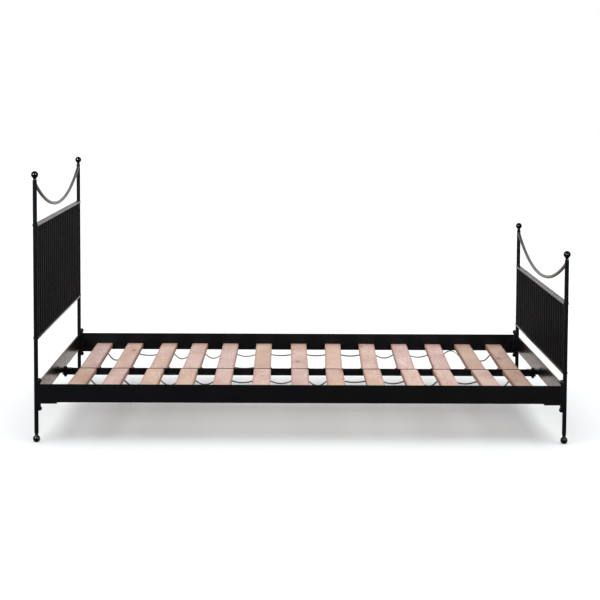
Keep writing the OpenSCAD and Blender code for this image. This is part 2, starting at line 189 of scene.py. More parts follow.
def board_wood():
    """Knotty hardwood. The mesh's own board coordinates run across, along and up each board, in metres,
    from a different place in the log for each board, so that no two boards share their grain."""
    material = bpy.data.materials.new("board_wood")
    tree = Tree(material)
    place = tree.add("ShaderNodeAttribute", attribute_name="board_place").outputs["Vector"]
    tone_and_shade = tree.add("ShaderNodeAttribute", attribute_name="board_tone_and_shade").outputs["Vector"]
    tones_and_shade = tree.add("ShaderNodeSeparateXYZ", {0: tone_and_shade})
    pink, light, wear_and_shade = tones_and_shade.outputs

    # Knots are cells along the board. The rings bend round them.
    knot_place = tree.scaled(place, (11.0, 4.2, 11.0))
    knot = tree.add("ShaderNodeTexVoronoi", {"Vector": knot_place, "Scale": 1.0, "Randomness": 1.0})
    knot_way = knot.outputs["Distance"]
    knot_pull = tree.remap(knot_way, 0.42, 0.0, 0.0, 1.0, smooth=True)
    knot_core = tree.remap(knot_way, 0.125, 0.07, 0.0, 1.0, smooth=True)
    knot_halo = tree.remap(knot_way, 0.26, 0.09, 0.0, 1.0, smooth=True)

    # Rings stand round a pith that wanders slowly along the board.
    wander = tree.noise(tree.scaled(place, (2.0, 1.1, 2.0)), 2.4, 2.0, 0.5)
    split = tree.add("ShaderNodeSeparateXYZ", {0: place})
    across = tree.math("ADD", split.outputs[0], tree.math("MULTIPLY", wander, 0.05))
    up = tree.math("ADD", split.outputs[2], tree.math("MULTIPLY", wander, 0.075))
    squares = tree.math("ADD", tree.math("POWER", across, 2.0), tree.math("POWER", up, 2.0))
    radius = tree.math("SQRT", squares)
    radius = tree.math("ADD", radius, tree.math("MULTIPLY", knot_pull, 0.010))
    wobble = tree.noise(tree.scaled(place, (26.0, 3.5, 26.0)), 1.0, 3.0, 0.55)
    radius = tree.math("ADD", radius, tree.math("MULTIPLY", wobble, 0.006))
    ring = tree.math("FRACT", tree.math("MULTIPLY", radius, RINGS_PER_METRE))
    late = tree.math("MULTIPLY", tree.remap(ring, 0.35, 0.93, smooth=True), tree.remap(ring, 1.0, 0.93))

    fibre = tree.noise(tree.scaled(place, (1500.0, 32.0, 1500.0)), 1.0, 4.0, 0.65)
    fleck = tree.noise(tree.scaled(place, (900.0, 70.0, 900.0)), 1.0, 2.0, 0.5)
    pore = tree.remap(fleck, 0.62, 0.70)
    patch = tree.noise(tree.scaled(place, (12.0, 4.0, 12.0)), 1.0, 3.0, 0.55)

    warm = tree.mix(tree.remap(patch, 0.32, 0.68), rgb(211, 171, 149), rgb(235, 203, 184))
    rosy = tree.mix(tree.remap(patch, 0.32, 0.68), rgb(210, 174, 167), rgb(234, 205, 199))
    base = tree.mix(pink, warm, rosy)
    base = tree.mix(tree.math("MULTIPLY", late, 0.42), base, rgb(158, 110, 90))
    base = tree.mix(tree.remap(fibre, 0.40, 0.72, 0.0, 0.34), base, rgb(150, 108, 92))
    base = tree.mix(tree.math("MULTIPLY", pore, 0.30), base, rgb(112, 72, 54))
    base = tree.mix(tree.math("MULTIPLY", knot_halo, 0.26), base, rgb(150, 98, 72))
    base = tree.mix(tree.math("MULTIPLY", knot_core, 0.45), base, rgb(104, 66, 50))
    # Each board's brightness: its own random tone, and painted shade on the boards next to the end panels.
    shade = tree.add("ShaderNodeCombineColor", {0: light, 1: light, 2: light}).outputs[0]
    base = tree.mix(1.0, base, shade, "MULTIPLY")

    # Sawn ends are darker. Edges rubbed by handling, and painted shade at the outer end, are browner.
    facing = tree.add("ShaderNodeSeparateXYZ", {0: tree.add("ShaderNodeTexCoord").outputs["Normal"]})
    end_grain = tree.remap(tree.math("ABSOLUTE", facing.outputs[1]), 0.6, 0.9, 0.0, 0.55)
    base = tree.mix(end_grain, base, rgb(132, 88, 64))
    rubbed_and_shaded = tree.math("MULTIPLY", wear_and_shade, tree.remap(patch, 0.2, 0.8, 0.5, 1.0))
    base = tree.mix(rubbed_and_shaded, base, rgb(146, 86, 56))

    rough = tree.remap(fibre, 0.35, 0.7, 0.52, 0.70)
    height = tree.math("ADD", tree.math("MULTIPLY", late, 0.5), tree.math("MULTIPLY", fibre, 0.6))
    height = tree.math("SUBTRACT", height, tree.math("MULTIPLY", pore, 0.9))
    normal = tree.bump(height, 0.35, 0.35 * MM)
    tree.principled({"Base Color": base, "Roughness": rough, "Normal": normal, "Specular IOR Level": 0.2})
    return material


def tape_weave():
    """Woven jute tape. The mesh's own tape coordinates run along and across it, in metres."""
    material = bpy.data.materials.new("tape_weave")
    tree = Tree(material)
    place = tree.add("ShaderNodeAttribute", attribute_name="tape_place").outputs["Vector"]
    split = tree.add("ShaderNodeSeparateXYZ", {0: place})
    fray = tree.noise(tree.scaled(place, (500.0, 700.0, 1.0)), 1.0, 3.0, 0.6)
    turn = 2 * math.pi
    along = tree.math("MULTIPLY", split.outputs[0], turn / WEFT_PITCH)
    across = tree.math("MULTIPLY", split.outputs[1], turn / WARP_PITCH)
    weft = tree.math("SINE", tree.math("ADD", along, tree.math("MULTIPLY", fray, 1.2)))
    warp = tree.math("SINE", tree.math("ADD", across, tree.math("MULTIPLY", fray, 0.9)))
    over = tree.math("MULTIPLY", weft, warp)
    weave = tree.math("MAXIMUM", tree.math("MULTIPLY", over, weft), tree.math("MULTIPLY", warp, 0.8))
    weave = tree.remap(weave, -0.8, 1.0)
    age = tree.noise(tree.scaled(place, (9.0, 60.0, 1.0)), 1.0, 3.0, 0.6)
    base = tree.mix(weave, rgb(46, 26, 16), rgb(100, 64, 44))
    base = tree.mix(tree.remap(age, 0.3, 0.7, 0.0, 0.5), base, rgb(92, 56, 36))
    base = tree.mix(tree.remap(fray, 0.5, 0.8, 0.0, 0.35), base, rgb(122, 86, 62))
    normal = tree.bump(tree.math("ADD", weave, tree.math("MULTIPLY", fray, 0.3)), 0.8, 0.4 * MM)
    tree.principled({"Base Color": base, "Roughness": 0.88, "Normal": normal, "Specular IOR Level": 0.15})
    return material


def drawn_wire():
    """Galvanised wire, drawn and slightly tarnished."""
    material = bpy.data.materials.new("drawn_wire")
    tree = Tree(material)
    place = tree.add("ShaderNodeTexCoord").outputs["Object"]
    spangle = tree.noise(place, 900.0, 3.0, 0.6)
    tarnish = tree.noise(place, 160.0, 2.0, 0.5)
    base = tree.mix(tree.remap(tarnish, 0.35, 0.7), rgb(178, 178, 180), rgb(138, 134, 128))
    rough = tree.remap(spangle, 0.3, 0.7, 0.28, 0.5)
    normal = tree.bump(spangle, 0.2, 0.05 * MM)
    tree.principled({"Base Color": base, "Metallic": 1.0, "Roughness": rough, "Normal": normal})
    return material


def studio_floor():
    """Matt white paper, with a barely uneven tone."""
    material = bpy.data.materials.new("studio_floor")
    tree = Tree(material)
    place = tree.add("ShaderNodeTexCoord").outputs["Object"]
    grain = tree.noise(place, 1.5, 2.0, 0.5)
    base = tree.mix(grain, rgb(248, 248, 248), rgb(250, 250, 250))
    tree.principled({"Base Color": base, "Roughness": 0.9, "Specular IOR Level": 0.0})
    return material


PAINT = iron_paint("satin_paint", rgb(12, 12, 14), rgb(18, 17, 18), 0.17, 0.27, 0.5, 0.28)
TUBE_PAINT = iron_paint("tube_paint", rgb(12, 12, 14), rgb(16, 15, 17), 0.28, 0.31, 0.4, 0.12)
BALL_PAINT = iron_paint("ball_paint", rgb(9, 9, 11), rgb(13, 13, 15), 0.08, 0.13, 0.3, 0.26)
BLACKED = iron_paint("blacked_steel", rgb(15, 15, 16), rgb(24, 23, 23), 0.22, 0.36, 0.9, 0.28)
WOOD = board_wood()
WEAVE = tape_weave()
WIRE = drawn_wire()


# ---------------------------------------------------------------- mesh tools


def finish_piece(mesh_data, name, body, material, smooth_angle=40):
    """Turns a bmesh into a piece that rides on a body."""
    mesh = bpy.data.meshes.new(name)
    bmesh.ops.recalc_face_normals(mesh_data, faces=mesh_data.faces)
    mesh_data.to_mesh(mesh)
    mesh_data.free()
    for face in mesh.polygons:
        face.use_smooth = True
    mesh.set_sharp_from_angle(angle=math.radians(smooth_angle))
    mesh.materials.append(material)
    piece = bpy.data.objects.new(name, mesh)
    bpy.context.scene.collection.objects.link(piece)
    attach(piece, body)
    return piece


def skin(mesh_data, rings):
    """Joins rings that have equally many points into one closed form, with a cap at each end."""
    for one, two in zip(rings, rings[1:]):
        count = len(one)
        for j in range(count):
            k = (j + 1) % count
            mesh_data.faces.new((one[j], one[k], two[k], two[j]))
    mesh_data.faces.new(list(reversed(rings[0])))
    mesh_data.faces.new(rings[-1])


def sweep_frames(path, side=None):
    """The two directions across a path at each of its points, turned as little as possible."""
    frames = []
    last = len(path) - 1
    across = side
    for i in range(len(path)):
        tangent = (path[min(i + 1, last)] - path[max(i - 1, 0)]).normalized()
        if across is None:
            across = tangent.orthogonal().normalized()
        across = (across - tangent * across.dot(tangent)).normalized()
        frames.append((across, tangent.cross(across)))
    return frames


def sweep(mesh_data, path, section, side=None):
    """Skins a section, which is a function of the station that gives (across, up) points, along a path."""
    rings = []
    for i, (across, up) in enumerate(sweep_frames(path, side)):
        ring = [mesh_data.verts.new(path[i] + across * u + up * v) for u, v in section(i)]
        rings.append(ring)
    skin(mesh_data, rings)


def circle(radius, sides):
    return [
        (radius * math.cos(2 * math.pi * j / sides), radius * math.sin(2 * math.pi * j / sides))
        for j in range(sides)
    ]


def lathe(mesh_data, centre, profile, sides):
    """Turns (radius, height) points round an upright axis. A radius of 0 closes the form."""
    rings = []
    for radius, height in profile:
        if radius == 0:
            rings.append([mesh_data.verts.new(centre + Vector((0, 0, height)))])
        else:
            rim = circle(radius, sides)
            rings.append([mesh_data.verts.new(centre + Vector((x, y, height))) for x, y in rim])
    for one, two in zip(rings, rings[1:]):
        for j in range(sides):
            k = (j + 1) % sides
            if len(one) == 1:
                mesh_data.faces.new((one[0], two[k], two[j]))
            elif len(two) == 1:
                mesh_data.faces.new((one[j], one[k], two[0]))
            else:
                mesh_data.faces.new((one[j], one[k], two[k], two[j]))


# ---------------------------------------------------------------- iron pieces from the frame

# How far each node's hard edges are rounded, in millimetres.
EDGE_ROUNDING = {
    "head_upper_bar": 0.9,
    "head_lower_bar": 0.9,
    "foot_upper_bar": 0.9,
    "foot_lower_bar": 0.9,
    "head_end_rail": 0.9,
    "foot_end_rail": 0.9,
    "right_side_rail": 1.0,
    "left_side_rail": 1.0,
    "centre_rail": 0.8,
    "centre_web": 0.8,
    "centre_brackets": 0.8,
    "post_flanges": 0.8,
    "rail_end_plates": 0.8,
    "corner_gussets": 0.7,
    "centre_nuts": 0.5,
    "centre_bolts": 0.4,
    "centre_washers": 0.3,
    "corner_bolts": 0.3,
    "gusset_screws": 0.25,
}
HARD_EDGE_DEGREES = 40
ROUNDING_STEPS = 3
JOIN_REACH = 0.01 * MM
FIXINGS = ("centre_nuts", "centre_bolts", "centre_washers", "corner_bolts", "gusset_screws")
BALLS = ("finials", "ball_feet")
LEAST_SHINY = ("_post", "side_rail")


def round_edges(node, width):
    """Eases a CAD node's hard edges, as rolled bar and punched plate have them."""
    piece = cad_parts[node]
    piece.modifiers.new("join", "WELD").merge_threshold = JOIN_REACH
    bevel = piece.modifiers.new("ease", "BEVEL")
    bevel.width = width
    bevel.segments = ROUNDING_STEPS
    bevel.limit_method = "ANGLE"
    bevel.angle_limit = math.radians(HARD_EDGE_DEGREES)
    bevel.use_clamp_overlap = True
    piece.modifiers.new("shade", "WEIGHTED_NORMAL").keep_sharp = False


def paint_for(name):
    """Balls shine most. Posts and side rails shine least."""
    if name in FIXINGS:
        return BLACKED
    if name in BALLS:
        return BALL_PAINT
    if name.endswith(LEAST_SHINY):
        return TUBE_PAINT
    return PAINT


def paint_iron():
    for name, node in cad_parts.items():
        if name.startswith("slat") or name.endswith(("tapes", "staples")):
            continue
        node.data.materials.clear()
        node.data.materials.append(paint_for(name))
    for name, width in EDGE_ROUNDING.items():
        round_edges(name, width * MM)


# ---------------------------------------------------------------- boards

SLAT_STATIONS = 40
SLAT_FACE_STEPS = 8
SLAT_CORNER_STEPS = 4
SLAT_CORNER_MM = (1.4, 2.6)
SLAT_CORNER_WANDER = 0.35
SLAT_END_GAP = 0.3 * MM
SLAT_END_ZONE = 8 * MM
# The distance from a board's end and the inset there, for the outlines that ease the end.
SLAT_END_EASES = ((0.0, 0.75 * MM), (0.5 * MM, 0.2 * MM), (1.6 * MM, 0.0))
SLAT_BOW = 0.22 * MM
SLAT_WANE = 0.004
SLAT_END_REACH = 3 * MM
LONG_STRETCH = 20 * MM

# Where in a log a board may come from, in metres: aside from the pith, along the log, and up from the pith.
LOG_ASIDE = (-0.05, 0.05)
LOG_ALONG = (-20, 20)
LOG_UP = (0.02, 0.09)
NOISE_PLACE = (-40, 40)

BOARD_LIGHT = (0.93, 1.03)
# Painted shade: these boards lie next to the head and foot panels and are darkened for the panels' shade.
# They also take the warm tone.
PANEL_SHADED_BOARDS = {"right": (1, 13), "left": (12, 13)}
PANEL_SHADE_LIGHT = 0.86
EDGE_WEAR = 0.80
EDGE_WEAR_REACH = 4.5 * MM
END_WEAR = 0.30
END_WEAR_REACH = 9 * MM
# Painted shade near each board's outer end, where the side rail's web stands above it.
OUTER_END_SHADE = 0.62
OUTER_END_SHADE_REACH = 120 * MM


def rounded_outline(width, height, radii):
    """The (across, up) outline of a board, from z = 0 up, with its own radius at each corner."""
    outline = []
    corners = [
        (-width / 2, 0, 180, radii[0]),
        (width / 2, 0, 270, radii[1]),
        (width / 2, height, 0, radii[2]),
        (-width / 2, height, 90, radii[3]),
    ]
    for x, z, start, radius in corners:
        centre_x = x - sign(x) * radius
        centre_z = z + radius if z == 0 else z - radius
        for step in range(SLAT_CORNER_STEPS + 1):
            angle = math.radians(start + 90 * step / SLAT_CORNER_STEPS)
            outline.append((centre_x + radius * math.cos(angle), centre_z + radius * math.sin(angle)))
    return outline


def fill_sides(outline):
    """Adds points along the long straight stretches of an outline, so that the face can be shaped."""
    filled = []
    count = len(outline)
    for i, (x, z) in enumerate(outline):
        filled.append((x, z))
        next_x, next_z = outline[(i + 1) % count]
        if abs(next_x - x) > LONG_STRETCH:
            for step in range(1, SLAT_FACE_STEPS):
                share = step / SLAT_FACE_STEPS
                filled.append((x + (next_x - x) * share, z + (next_z - z) * share))
    return filled


def slat_ends(node):
    """The middle of the underside at a CAD slat's inner and outer end, and its width, from its corners."""
    low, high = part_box(node)
    points = [v.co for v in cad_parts[node].data.vertices]
    ends = []
    for y in (low.y, high.y):
        near = [p for p in points if abs(p.y - y) < SLAT_END_REACH]
        left = min(p.x for p in near)
        right = max(p.x for p in near)
        ends.append((Vector(((left + right) / 2, y, min(p.z for p in near))), right - left))
    ends.sort(key=lambda end: abs(end[0].y))
    inner, outer = ends
    return inner[0], outer[0], min(inner[1], outer[1])


def slat_stations(length):
    """The distance along a board and the inset of its outline there, from the inner end to the outer end."""
    start = [(SLAT_END_GAP + way, inset) for way, inset in SLAT_END_EASES]
    finish = [(length - SLAT_END_GAP - way, inset) for way, inset in reversed(SLAT_END_EASES)]
    evenly = [length * (i + 0.5) / SLAT_STATIONS for i in range(SLAT_STATIONS)]
    between = [(way, 0.0) for way in evenly if SLAT_END_ZONE < way < length - SLAT_END_ZONE]
    return start + between + finish


def wear_and_shade_at(place, width, length):
    """Rubbing along a board's edges and ends, and painted shade from the side rail near its outer end."""
    edge = max(0.0, 1 - (width / 2 - abs(place.x)) / EDGE_WEAR_REACH)
    end = max(0.0, 1 - min(place.y, length - place.y) / END_WEAR_REACH)
    outer_shade = max(0.0, 1 - (length - place.y) / OUTER_END_SHADE_REACH) ** 2
    return min(1.0, EDGE_WEAR * edge + END_WEAR * end + OUTER_END_SHADE * outer_shade)


def make_slat(side, number, rng):
    """One board in place of a CAD slat. Its corners, top face and width wander a little along its length."""
    node = f"slat_{side}_{number:02d}"
    inner, outer, width = slat_ends(node)
    low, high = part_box(node)
    height = high.z - low.z - abs(outer.z - inner.z)
    length = (outer - inner).length
    along = (outer - inner).normalized()
    across = Vector((along.y, -along.x, 0)).normalized()
    upward = across.cross(along)
    seed = Vector([rng.uniform(*NOISE_PLACE) for _ in range(3)])
    log_place = Vector((rng.uniform(*LOG_ASIDE), rng.uniform(*LOG_ALONG), rng.uniform(*LOG_UP)))
    radii = [rng.uniform(*SLAT_CORNER_MM) * MM for _ in range(4)]

    mesh_data = bmesh.new()
    places = []
    rings = []
    for run, inset in slat_stations(length):
        uneven = [noise.noise(seed + Vector((run * 9, r * 4000, 0))) for r in radii]
        corners = [r * (1 + SLAT_CORNER_WANDER * share) for r, share in zip(radii, uneven)]
        wane = SLAT_WANE * (1 + noise.noise(seed + Vector((0, run * 5, 7))))
        ring = []
        for u, w in fill_sides(rounded_outline(width - 2 * inset, height - 2 * inset, corners)):
            w = w + inset
            if w > height / 2:
                w = w - SLAT_BOW * (1 + noise.noise(seed + Vector((u * 40, run * 6, 0))))
            u = u * (1 - wane)
            ring.append(mesh_data.verts.new(inner + along * run + across * u + upward * w))
            places.append(Vector((u, run, w)))
        rings.append(ring)
    skin(mesh_data, rings)

    body = f"{side}_slats"
    piece = finish_piece(mesh_data, f"board_{side}_{number:02d}", body, WOOD, 50)
    write_vectors(piece.data, "board_place", [place + log_place for place in places])
    pink = rng.uniform(0.0, 1.0)
    light = rng.uniform(*BOARD_LIGHT)
    # Painted shade on the boards next to the end panels.
    if number in PANEL_SHADED_BOARDS[side]:
        pink = 0.0
        light = light * PANEL_SHADE_LIGHT
    # Per point: the board's pink share, its brightness with any panel shade, and rubbing plus painted shade
    # near the outer end.
    tones_and_shade = [Vector((pink, light, wear_and_shade_at(place, width, length))) for place in places]
    write_vectors(piece.data, "board_tone_and_shade", tones_and_shade)
    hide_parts(node)


def write_vectors(mesh, name, vectors):
    attribute = mesh.attributes.new(name, "FLOAT_VECTOR", "POINT")
    attribute.data.foreach_set("vector", [value for vector in vectors for value in vector])


def make_slats():
    rng = random.Random(SEED)
    for side in SIDES:
        for number in range(1, SLATS_PER_SIDE + 1):
            make_slat(side, number, rng)


# ---------------------------------------------------------------- tapes and staples

TAPE_STEP = 5 * MM
TAPE_WIDTH = 20 * MM
TAPE_THICK = 2.2 * MM
TAPE_FACE_STEPS = 8
# As shares of the full thickness: a tape's middle, what its sides add to that, and its outermost edge.
TAPE_MIDDLE = 0.84
TAPE_SWELL = 0.16
TAPE_EDGE = 0.85
TAPE_LEAN = 0.05
TAPE_APART = 0.5

STAPLE_WIRE = 0.6 * MM
STAPLE_BEND = 1.2 * MM
STAPLE_BEND_STEPS = 4
STAPLE_LEG_START = 3 * MM
STAPLE_REACH = 20 * MM
WIRE_SIDES = 10


def tape_lines(node):
    """The middle line of each tape in a CAD node, from head to foot."""
    low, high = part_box(node)
    between = abs(low.y + high.y) / 2
    lines = []
    groups = {}
    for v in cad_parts[node].data.vertices:
        groups.setdefault(abs(v.co.y) > between, []).append(v.co)
    for outer in sorted(groups):
        points = groups[outer]
        y = (min(p.y for p in points) + max(p.y for p in points)) / 2
        heights = {}
        for p in points:
            heights.setdefault(round(p.x, 5), []).append(p.z)
        line = [Vector((x, y, (min(z) + max(z)) / 2)) for x, z in sorted(heights.items())]
        lines.append(line)
    return lines


def even_steps(line, step):
    """The same line with points at even steps, by straight runs between its own points."""
    lengths = [0.0]
    for one, two in zip(line, line[1:]):
        lengths.append(lengths[-1] + (two - one).length)
    count = max(2, round(lengths[-1] / step))
    points = []
    segment = 0
    for i in range(count + 1):
        way = lengths[-1] * i / count
        while segment < len(line) - 2 and lengths[segment + 1] < way:
            segment += 1
        share = (way - lengths[segment]) / (lengths[segment + 1] - lengths[segment])
        points.append(line[segment].lerp(line[segment + 1], share))
    return points, lengths[-1]


def tape_section():
    """A flat band with slightly thicker, eased selvedges."""
    half = TAPE_WIDTH / 2
    top = []
    for i in range(TAPE_FACE_STEPS + 1):
        u = -half + TAPE_WIDTH * i / TAPE_FACE_STEPS
        share = abs(u) / half
        lift = TAPE_THICK / 2 * (TAPE_MIDDLE + TAPE_SWELL * share ** 4)
        if i in (0, TAPE_FACE_STEPS):
            lift = TAPE_THICK / 2 * TAPE_EDGE
        top.append((u, lift))
    bottom = [(u, -lift) for u, lift in reversed(top)]
    return top + bottom


def make_tapes(side):
    """Woven tapes along the CAD tapes' own lines. Each leans a little from side to side along its length."""
    node = f"{side}_tapes"
    mesh_data = bmesh.new()
    places = []
    outline = tape_section()
    for number, line in enumerate(tape_lines(node)):
        path, length = even_steps(line, TAPE_STEP)

        def section(i):
            lean = TAPE_LEAN * noise.noise(path[i] * 9 + Vector((0, 0, number * 5)))
            return [(u, v + u * lean) for u, v in outline]

        sweep(mesh_data, path, section, Vector((0, 1, 0)))
        for i in range(len(path)):
            way = length * i / (len(path) - 1)
            places.extend(Vector((way, u, number * TAPE_APART)) for u, _ in outline)
    piece = finish_piece(mesh_data, f"{side}_webbing_tapes", f"{side}_slats", WEAVE, 60)
    write_vectors(piece.data, "tape_place", places)
    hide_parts(node)


def staple_groups(node):
    """The points of a CAD node of staples, one group for each staple."""
    groups = []
    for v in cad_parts[node].data.vertices:
        home = None
        for group in groups:
            away = group[0] - v.co
            if abs(away.x) < STAPLE_REACH and abs(away.y) < STAPLE_REACH:
                home = group
                break
        if home is None:
            groups.append([v.co.copy()])
        else:
            home.append(v.co.copy())
    return groups


def quarter_turn(x, y, z, start):
    """A quarter of a circle of wire round a point, in the plane across the bed."""
    points = []
    for step in range(STAPLE_BEND_STEPS + 1):
        angle = math.radians(start + 90 * step / STAPLE_BEND_STEPS)
        points.append(Vector((x, y + STAPLE_BEND * math.cos(angle), z + STAPLE_BEND * math.sin(angle))))
    return points


def staple_path(low, high):
    """The middle line of a staple's wire: down one leg, along the crown, and up the other leg."""
    x = (low.x + high.x) / 2
    first = low.y + STAPLE_WIRE
    last = high.y - STAPLE_WIRE
    crown = low.z + STAPLE_WIRE
    path = [Vector((x, first, high.z)), Vector((x, first, crown + STAPLE_LEG_START))]
    path = path + quarter_turn(x, first + STAPLE_BEND, crown + STAPLE_BEND, 180)
    path = path + quarter_turn(x, last - STAPLE_BEND, crown + STAPLE_BEND, 270)
    return path + [Vector((x, last, crown + STAPLE_LEG_START)), Vector((x, last, high.z))]


def make_staples(side):
    """Wire staples. Each CAD staple is a crown under the tape with two legs up into the board."""
    node = f"{side}_staples"
    outline = circle(STAPLE_WIRE, WIRE_SIDES)
    mesh_data = bmesh.new()
    for points in staple_groups(node):
        low = Vector([min(p[i] for p in points) for i in range(3)])
        high = Vector([max(p[i] for p in points) for i in range(3)])
        sweep(mesh_data, staple_path(low, high), lambda i: outline, Vector((1, 0, 0)))
    piece = finish_piece(mesh_data, f"{side}_wire_staples", f"{side}_slats", WIRE, 60)
    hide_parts(node)


# ---------------------------------------------------------------- spindles

SPINDLE_SIDES = 32
SPINDLE_STEPS = 12
SPINDLE_RADIUS = 6 * MM
SPINDLE_EASE = 0.5 * MM
SPINDLE_WANDER = 0.006
SPINDLE_REACH = 20 * MM
TENON_RADIUS = 4 * MM
RIVET_RADIUS = 5.5 * MM
RIVET_HEIGHT = 1.3 * MM
RIVET_STEPS = 6


def spindle_places(node):
    """The Y of each spindle's axis, from the CAD node's own points."""
    points = [v.co.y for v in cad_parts[node].data.vertices]
    places = []
    for point in points:
        if all(abs(point - y) > SPINDLE_REACH for y in places):
            near = [y for y in points if abs(y - point) < SPINDLE_REACH]
            places.append((min(near) + max(near)) / 2)
    return sorted(places)


def rivet_dome(rng):
    """The (radius, height) points of a hammered rivet head, from its rim to its top."""
    height = RIVET_HEIGHT * rng.uniform(0.86, 1.0)
    width = RIVET_RADIUS * rng.uniform(0.90, 1.0)
    angles = [math.pi / 2 * step / RIVET_STEPS for step in range(RIVET_STEPS + 1)]
    dome = [(width * math.cos(a), height * math.sin(a)) for a in angles]
    dome[-1] = (0, dome[-1][1])
    return dome


def spindle_profile(rise, bar, rng):
    """The (radius, height) outline of one spindle with its tenons and peened heads, from the bottom up.

    Heights are from the top of the lower bar. Both bars have the same thickness.
    """
    under = [(r, -bar - h) for r, h in reversed(rivet_dome(rng))]
    over = [(r, rise + bar + h) for r, h in rivet_dome(rng)]
    body = [
        (TENON_RADIUS, -bar),
        (TENON_RADIUS, 0),
        (SPINDLE_RADIUS - SPINDLE_EASE, 0),
        (SPINDLE_RADIUS, SPINDLE_EASE),
    ]
    for step in range(1, SPINDLE_STEPS):
        body.append((SPINDLE_RADIUS * (1 - SPINDLE_WANDER * rng.random()), rise * step / SPINDLE_STEPS))
    body = body + [
        (SPINDLE_RADIUS, rise - SPINDLE_EASE),
        (SPINDLE_RADIUS - SPINDLE_EASE, rise),
        (TENON_RADIUS, rise),
        (TENON_RADIUS, rise + bar),
    ]
    return under + body + over


def make_spindles(end):
    """Rods with tenons through both flat bars, hammered over on the outer faces."""
    node = f"{end}_spindles"
    rng = random.Random(SEED + 7)
    x = middle(node).x
    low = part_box(f"{end}_lower_bar")[1].z
    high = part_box(f"{end}_upper_bar")[0].z
    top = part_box(f"{end}_upper_bar")[1].z
    mesh_data = bmesh.new()
    for y in spindle_places(node):
        profile = spindle_profile(high - low, top - high, rng)
        lathe(mesh_data, Vector((x, y, low)), profile, SPINDLE_SIDES)
    piece = finish_piece(mesh_data, f"{end}_riveted_spindles", "frame", TUBE_PAINT, 40)
    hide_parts(node)


# ---------------------------------------------------------------- weld beads

BEAD_SIDES = 10
BEAD_STEP = 1.1 * MM
BEAD_SCALES = 0.13
BEAD_SCALE_TURN = 1.9
BEAD_UNEVEN = 0.16
BEAD_END_SIZE = 0.55
BEAD_END_GROWTH = 0.25

# The radius of each kind of bead.
BAR_BEAD = 1.7 * MM
ROD_BEAD = 1.3 * MM
END_RAIL_BEAD = 1.8 * MM
FLANGE_BEAD = 1.5 * MM
BRACKET_BEAD = 1.5 * MM
WEB_BEAD = 1.8 * MM
LEDGE_BEAD = 1.6 * MM

# How far the middle of a bead stands off the faces that it joins.
POST_CLEAR = 0.5 * MM
FLANGE_CLEAR = 0.7 * MM
PLATE_CLEAR = 0.4 * MM

BAR_WELD_DEGREES = 82
BAR_WELD_STEPS = 18
ROD_WELD_STEPS = 48
FLANGE_END_GAP = 9 * MM
SIDE_RAIL_THICK = 5 * MM
LEDGE_WELD_START = 688 * MM


def bead(mesh_data, line, radius, rng):
    """A run of weld along a line, with the small scales that each pass of the torch leaves."""
    path, _ = even_steps(line, BEAD_STEP)
    last = len(path) - 1
    phase = rng.uniform(0, 6)
    outline = circle(1.0, BEAD_SIDES)

    def section(i):
        ripple = BEAD_SCALES * math.sin(phase + i * BEAD_SCALE_TURN)
        scale = 1 + ripple + BEAD_UNEVEN * noise.noise(path[i] * 220)
        scale = scale * min(1.0, BEAD_END_SIZE + BEAD_END_GROWTH * min(i, last - i))
        return [(u * radius * scale, v * radius * scale) for u, v in outline]

    sweep(mesh_data, path, section)


def arc_round_post(post, z):
    """A level line over a post's surface, on its side towards the bed's middle."""
    reach = POST_RADIUS + POST_CLEAR
    toward = -sign(post.y)
    line = []
    for step in range(BAR_WELD_STEPS + 1):
        angle = math.radians(BAR_WELD_DEGREES) * (2 * step / BAR_WELD_STEPS - 1)
        x = post.x + reach * math.sin(angle)
        y = post.y + toward * reach * math.cos(angle)
        line.append(Vector((x, y, z)))
    return line


def bar_welds(mesh_data, post, bar, rng):
    """Where a flat bar meets a post: an arc over its top and another under it."""
    low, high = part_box(bar)
    for z in (low.z, high.z):
        bead(mesh_data, arc_round_post(post, z), BAR_BEAD, rng)


def rod_welds(mesh_data, post, rod, rng):
    """A ring of weld where a hanging rod meets a post. The rod comes in at a slope, and its highest point is
    where its top meets the post's surface."""
    low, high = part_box(rod)
    radius = (high.x - low.x) / 2
    slope = 2 * math.atan((high.z - low.z - 2 * radius) / abs(post.y))
    toward = -sign(post.y)
    out = Vector((0, toward * math.cos(slope), -math.sin(slope)))
    up = Vector((0, toward * math.sin(slope), math.cos(slope)))
    axis_z = high.z - radius / math.cos(slope) + POST_RADIUS * math.tan(slope)
    start = Vector((post.x, post.y, axis_z))
    line = []
    for step in range(ROD_WELD_STEPS + 1):
        turn = 2 * math.pi * step / ROD_WELD_STEPS
        rim = Vector((radius * math.cos(turn), 0, 0)) + up * radius * math.sin(turn)
        reach = (math.sqrt(POST_RADIUS ** 2 - rim.x ** 2) - rim.y * toward) / math.cos(slope)
        line.append(start + rim + out * reach)
    bead(mesh_data, line, ROD_BEAD, rng)


def upright_bead(mesh_data, x, y, low, high, radius, rng):
    bead(mesh_data, [Vector((x, y, low)), Vector((x, y, high))], radius, rng)


def end_rail_welds(mesh_data, post, rail, rng):
    """Beads down both faces of an end rail, in the corners that they make with a post."""
    low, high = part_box(rail)
    for x in (low.x, high.x):
        aside = sign(x - (low.x + high.x) / 2)
        offset = math.sqrt(POST_RADIUS ** 2 - (x - post.x) ** 2)
        out = x + aside * POST_CLEAR
        y = post.y - sign(post.y) * (offset + POST_CLEAR)
        upright_bead(mesh_data, out, y, low.z + 2 * MM, high.z - 2 * MM, END_RAIL_BEAD, rng)


